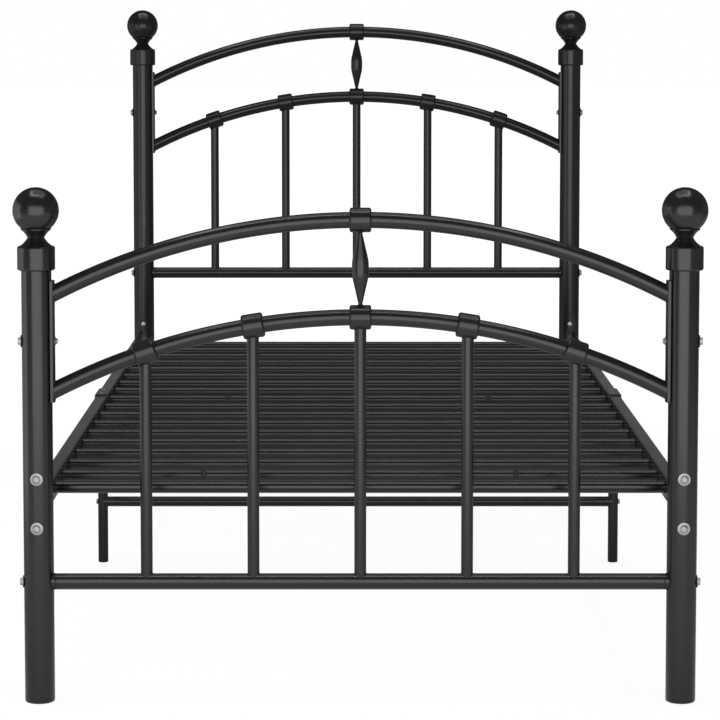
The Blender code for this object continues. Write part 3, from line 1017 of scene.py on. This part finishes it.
leg = {
    "radius": 0.0091,
    "wall": 0.0012,
    "sides": 48,
    "rimRound": 0.0003,
    "plugLip": 0.003,
    "plugRound": 0.0015,
    "plugDepth": 0.012,
    "plugGap": 0.0001,
    "plugFit": 0.0002,
    "bead": 0.0007,
    "beadSink": 0.0002,
}
channel = {"wall": 0.002, "bend": 0.0022, "bendSteps": 5, "edge": 0.0004, "gap": 0.0003}
screw = {
    "radius": 0.0045,
    "height": 0.0022,
    "rim": 0.0006,
    "sink": 0.0008,
    "bulge": 0.0006,
    "slotWidth": 0.0011,
    "slotLength": 0.0052,
    "slotDepth": 0.0011,
    "slotTurn": 0.3,
    "spacing": 0.050,
    "bowSteps": 8,
    "sides": 36,
}
crossbar = {
    "share": 0.999,
    "boltRadius": 0.0045,
    "boltHeight": 0.003,
    "boltRound": 0.0006,
    "boltSides": 32,
}


def screwShape():
    # a low domed head with a cross cut in it
    radius, height, rim, sink = screw["radius"], screw["height"], screw["rim"], screw["sink"]
    bm = chain([(0, -sink), (radius, -sink), (radius, rim)])[0]
    start, finish = Vector((radius, 0, rim)), Vector((0, 0, height))
    bow(bm, start, finish, screw["bulge"], screw["bowSteps"])
    bmesh.ops.remove_doubles(bm, verts=bm.verts, dist=2 * samePlace)
    lathe(bm, screw["sides"])
    size = Matrix.Diagonal((screw["slotLength"], screw["slotWidth"], 2 * screw["slotDepth"], 1))
    for angle in (screw["slotTurn"], screw["slotTurn"] + pi / 2):
        cutter = bmesh.new()
        bmesh.ops.create_cube(cutter, size=1.0)
        turn = Matrix.Rotation(angle, 4, "Z")
        moved(cutter, Matrix.Translation((0, 0, height)) @ turn @ size)
        bm = carved(bm, cutter)
    return bm


def channelShape(low, high, under, over):
    # a bent channel open towards -X, from one place to another along the bed
    half, wall = rail["width"] / 2, channel["wall"]
    inner, outer = -half, half + channel["gap"]
    bm = bmesh.new()
    corners = [bm.verts.new((x, 0, z)) for x, z in (
        (inner, under - wall), (outer + wall, under - wall),
        (outer + wall, over + wall), (inner, over + wall),
        (inner, over), (outer, over), (outer, under), (inner, under),
    )]
    bm.faces.new(corners)
    soften(bm, [corners[1], corners[2]], channel["bend"], channel["bendSteps"])
    grown = bmesh.ops.extrude_face_region(bm, geom=bm.faces[:])
    far = {part for part in grown["geom"] if isVert(part)}
    for vert in bm.verts:
        vert.co.y = high if vert in far else low
    softenRim(bm, channel["edge"])
    return bm


def makeLegs():
    # each middle leg is welded under the channel that joins the rail halves
    barAt = axisOf("middle_crossbar")
    radius, lip, fit = leg["radius"], leg["plugLip"], leg["plugFit"]
    bore = radius - leg["wall"]
    for side, sign in sides.items():
        node = f"middle_leg_{side}"
        low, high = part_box(node)
        x = axisOf(f"foot_post_{side}").x
        railLow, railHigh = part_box(f"side_rail_front_{side}")
        under, over = railLow.z - channel["gap"], railHigh.z + channel["gap"]
        mirror = Matrix.Diagonal((sign, 1, 1, 1))
        cover = channelShape(low.y, high.y, under, over)
        moved(cover, Matrix.Translation((x, 0, 0)) @ mirror)
        piece(f"railChannel{side.title()}", cover, blackCoat)
        bottom, top = lip + fit, under - channel["wall"]
        tube = turned(
            [(bore, bottom), (radius, bottom), (radius, top), (bore, top)],
            leg["sides"], leg["rimRound"], [0, 1], True, 2,
        )
        beadAt = Matrix.Translation((0, 0, top - leg["beadSink"]))
        bead = moved(weldBead(radius, leg["bead"]), beadAt)
        place = Matrix.Translation((x, barAt.y, 0))
        whole = moved(together(tube, bead), place)
        piece(f"middleLeg{side.title()}", whole, blackCoat, [node])
        rim, depth = radius - leg["plugGap"], leg["plugDepth"]
        plug = turned(
            [(0, 0), (rim, 0), (rim, lip), (bore - fit, lip), (bore - fit, depth), (0, depth)],
            leg["sides"], leg["plugRound"], [1],
        )
        piece(f"middleLegPlug{side.title()}", moved(plug, place), blackPlug)
        for label, along in (("Front", 0), ("Rear", screw["spacing"])):
            spot = Matrix.Translation((x, barAt.y + along, over + channel["wall"]))
            name = f"channelScrew{label}{side.title()}"
            piece(name, moved(screwShape(), spot), brightZinc)


def makeCrossbar():
    # its ends are hollowed to meet the legs
    node = "middle_crossbar"
    at = axisOf(node)
    postX = axisOf("foot_post_right").x
    reach = leg["radius"]
    bm = roundBar(1.0, reach * crossbar["share"], leg["sides"])
    for vert in bm.verts:
        depth = sqrt(max(0, reach ** 2 - vert.co.y ** 2))
        vert.co.z = (postX - depth) * (1 if vert.co.z > 0 else -1)
    turn = Matrix.Translation(at) @ Matrix.Rotation(pi / 2, 4, "Y")
    piece("middleCrossbar", moved(bm, turn), blackCoat, [node])
    height = crossbar["boltHeight"]
    for side, sign in sides.items():
        head = roundBar(height, crossbar["boltRadius"], crossbar["boltSides"])
        softenRim(head, crossbar["boltRound"], 3)
        spot = Vector((sign * (postX + reach + height / 2), at.y, at.z))
        label = f"crossbarBolt{side.title()}"
        piece(label, moved(head, aim((sign, 0, 0), spot)), brightZinc)


makePosts()
makeFinials()
print("posts and finials made")
makeArches()
makeLeaves()
makeBottomBars()
makeSpindles()
makeSidePlates()
makeBarBolts()
print("end panels made")
makeRails()
makeBrackets()
makeSlats()
makeSlatPlugs()
makeLegs()
makeCrossbar()
print("base made")


studio = {
    "floorSize": 70.0,
    "floorWhite": 0.86,
    "floorLift": 0.80,
    "floorGlow": 1.08,
    "liftFades": (1.4, 4.0),
    "wallDistance": 9.0,
    "wallBottom": 0.003,
    "sheenHeight": 0.0005,
    "sheenMiddle": (0, -1.0, 0),
    "sides": 64,
    "worldFill": 0.45,
}
# the greys that show in the gloss, as (share of the way, grey)
wallByHeight = ((0.0, 0.42), (0.28, 0.27), (0.6, 0.21), (1.0, 0.21))
wallByDepth = ((0.0, 1.0), (0.45, 0.95), (0.66, 0.75), (0.82, 0.35), (0.92, 0.40), (1.0, 0.72))
# the floor's reflection dims with distance and behind the bed: painted shade
sheenByDistance = (
    (0.0, 1.0), (0.24, 1.0), (0.36, 0.75), (0.50, 0.50), (0.64, 0.40), (1.0, 0.36)
)
sheenByDepth = (
    (0.0, 1.0), (0.411, 1.0), (0.433, 0.85), (0.456, 0.55), (0.483, 0.36), (0.60, 0.32)
)
lamps = {
    # middle, direction, width, height, brightness, spread in degrees
    "frontPanel": ((0, -3.05, 0.80), (0, 1, 0), 3.2, 1.58, 2.4, 180),
    "leftPanel": ((-1.93, -1.13, 0.63), (1, 0, 0), 0.58, 1.25, 1.45, 180),
    "leftMiddlePanel": ((-1.93, -0.52, 0.63), (1, 0, 0), 0.64, 1.25, 0.85, 180),
    "leftBackPanel": ((-1.93, 0.80, 0.63), (1, 0, 0), 2.0, 1.25, 0.35, 180),
    "overhead": ((0, 0, 4.7), (0, 0, -1), 3.3, 3.2, 0.8, 180),
    "overheadFront": ((0, -1.55, 4.69), (0, 0, -1), 3.3, 0.4, 9.0, 70),
    "overheadRear": ((0, 1.55, 4.69), (0, 0, -1), 3.3, 0.4, 9.0, 70),
    "overheadLeft": ((-1.5, 0, 4.69), (0, 0, -1), 0.4, 2.7, 9.0, 70),
    "overheadRight": ((1.5, 0, 4.69), (0, 0, -1), 0.4, 2.7, 9.0, 70),
}
camera = {
    "at": (-0.0158, -4.9542, 0.9911),
    "down": 0.0820,
    "lens": 136.622,
    "sensor": 36.0,
    "shiftX": 0.0147,
    "shiftY": -0.16,
    "sees": 100.0,
}


def stageObject(name, bm, material):
    mesh = bpy.data.meshes.new(name)
    bm.to_mesh(mesh)
    bm.free()
    mesh.materials.append(material)
    made = added(name, mesh)
    return made


def combined(nodes, links, operation, first, second):
    both = nodes.new("ShaderNodeMath")
    both.operation = operation
    links.new(first, both.inputs[0])
    links.new(second, both.inputs[1])
    return both.outputs[0]


def mixed(nodes, links, share, first, second, output):
    mix = nodes.new("ShaderNodeMixShader")
    for value, place in zip((share, first.outputs[0], second.outputs[0]), mix.inputs):
        links.new(value, place)
    links.new(mix.outputs[0], output.inputs["Surface"])


def seenDirectly(nodes, links):
    # 1 for what the camera sees, straight or in a mirror or through glass
    rays = nodes.new("ShaderNodeLightPath").outputs
    seen = combined(nodes, links, "MAXIMUM", rays["Is Camera Ray"], rays["Is Glossy Ray"])
    return combined(nodes, links, "MAXIMUM", seen, rays["Is Transmission Ray"])


def makeFloor():
    # white to the camera, but it keeps a faint shadow near the bed
    bm = bmesh.new()
    bmesh.ops.create_grid(bm, x_segments=1, y_segments=1, size=studio["floorSize"] / 2)
    material, nodes, links = newMaterial("floorWhite")
    shader = nodes["Principled BSDF"]
    white = studio["floorWhite"]
    shader.inputs["Base Color"].default_value = (white, white, white, 1)
    shader.inputs["Roughness"].default_value = 0.9
    shader.inputs["Specular IOR Level"].default_value = 0.0
    glow = nodes.new("ShaderNodeEmission")
    glow.inputs["Strength"].default_value = studio["floorGlow"]
    place = nodes.new("ShaderNodeTexCoord")
    away = nodes.new("ShaderNodeVectorMath")
    away.operation = "LENGTH"
    links.new(place.outputs["Object"], away.inputs[0])
    lift = (studio["floorLift"], 1)
    lifted = stretched(nodes, links, away.outputs["Value"], studio["liftFades"], lift)
    share = combined(nodes, links, "MULTIPLY", seenDirectly(nodes, links), lifted)
    mixed(nodes, links, share, shader, glow, nodes["Material Output"])
    stageObject("floor", bm, material)


def greys(nodes, links, value, given, stops):
    # a grey that changes over the given range of a value
    share = stretched(nodes, links, value, given)
    return ramped(nodes, links, share, [(position, (grey,) * 3) for position, grey in stops])


def multiplied(nodes, links, first, second):
    both = nodes.new("ShaderNodeMix")
    both.data_type = "RGBA"
    both.blend_type = "MULTIPLY"
    both.inputs["Factor"].default_value = 1.0
    links.new(first, both.inputs[6])
    links.new(second, both.inputs[7])
    return both.outputs[2]


def glowOnly(name):
    # a glowing material, with the place on it split into X, Y and Z
    material, nodes, links = newMaterial(name)
    nodes.remove(nodes["Principled BSDF"])
    glow = nodes.new("ShaderNodeEmission")
    links.new(glow.outputs[0], nodes["Material Output"].inputs["Surface"])
    place = nodes.new("ShaderNodeTexCoord")
    split = nodes.new("ShaderNodeSeparateXYZ")
    links.new(place.outputs["Object"], split.inputs[0])
    return material, nodes, links, glow, split


def onlyInGloss(made):
    made.visible_camera = False
    made.visible_diffuse = False
    made.visible_shadow = False
    made.visible_transmission = False
    made.visible_volume_scatter = False


def makeWalls():
    # the dim studio that shows only in the gloss
    far = studio["wallDistance"]
    bm = bmesh.new()
    bmesh.ops.create_uvsphere(bm, u_segments=32, v_segments=16, radius=far)
    cutAway(bm, (0, 0, studio["wallBottom"]), (0, 0, -1))
    material, nodes, links, glow, split = glowOnly("studioWall")
    byHeight = greys(nodes, links, split.outputs["Z"], (0, far), wallByHeight)
    byDepth = greys(nodes, links, split.outputs["Y"], (-far, far), wallByDepth)
    links.new(multiplied(nodes, links, byHeight, byDepth), glow.inputs["Color"])
    onlyInGloss(stageObject("studioWall", bm, material))


def makeFloorSheen():
    # what the gloss sees of the floor, as a glowing disc: white before the bed, with painted shade
    # that makes it dimmer behind it and far away
    far = studio["wallDistance"]
    bm = bmesh.new()
    bmesh.ops.create_circle(bm, cap_ends=True, radius=far, segments=studio["sides"])
    bmesh.ops.translate(bm, verts=bm.verts, vec=(0, 0, studio["sheenHeight"]))
    material, nodes, links, glow, split = glowOnly("floorSheen")
    away = nodes.new("ShaderNodeVectorMath")
    away.operation = "DISTANCE"
    away.inputs[1].default_value = studio["sheenMiddle"]
    links.new(nodes["Texture Coordinate"].outputs["Object"], away.inputs[0])
    byDistance = greys(nodes, links, away.outputs["Value"], (0, far), sheenByDistance)
    byDepth = greys(nodes, links, split.outputs["Y"], (-far, far), sheenByDepth)
    links.new(multiplied(nodes, links, byDistance, byDepth), glow.inputs["Color"])
    onlyInGloss(stageObject("floorSheen", bm, material))


def makeWorld():
    # a soft fill for the bed, and white behind it
    world = bpy.data.worlds.new("studioWorld")
    bpy.context.scene.world = world
    world.use_nodes = True
    nodes, links = world.node_tree.nodes, world.node_tree.links
    fill = nodes["Background"]
    fill.inputs["Color"].default_value = (1, 1, 1, 1)
    fill.inputs["Strength"].default_value = studio["worldFill"]
    white = nodes.new("ShaderNodeBackground")
    white.inputs["Color"].default_value = (1, 1, 1, 1)
    white.inputs["Strength"].default_value = 1.0
    mixed(nodes, links, seenDirectly(nodes, links), fill, white, nodes["World Output"])


def makeLamps():
    for name, (middle, faces, width, height, brightness, spread) in lamps.items():
        lamp = bpy.data.lights.new(name, "AREA")
        lamp.shape = "RECTANGLE"
        lamp.size = width
        lamp.size_y = height
        lamp.energy = brightness * pi * width * height
        if spread < 180:
            # a narrow spread gathers the same power in the middle
            lamp.spread = radians(spread)
            half = lamp.spread / 2
            lamp.energy *= (tan(half) - half) / tan(half)
        made = added(name, lamp)
        made.location = middle
        made.rotation_mode = "QUATERNION"
        made.rotation_quaternion = Vector(faces).to_track_quat("-Z", "Y")
        made.visible_camera = False


def makeCamera():
    data = bpy.data.cameras.new("camera")
    data.lens = camera["lens"]
    data.sensor_width = camera["sensor"]
    data.shift_x = camera["shiftX"]
    data.shift_y = camera["shiftY"]
    data.clip_end = camera["sees"]
    made = added("camera", data)
    made.location = camera["at"]
    made.rotation_euler = (pi / 2 - camera["down"], 0, 0)
    bpy.context.scene.camera = made


makeFloor()
makeWalls()
makeFloorSheen()
makeWorld()
makeLamps()
makeCamera()
bpy.context.scene.view_settings.view_transform = "Standard"
print("studio made")

bpy.context.view_layer.update()
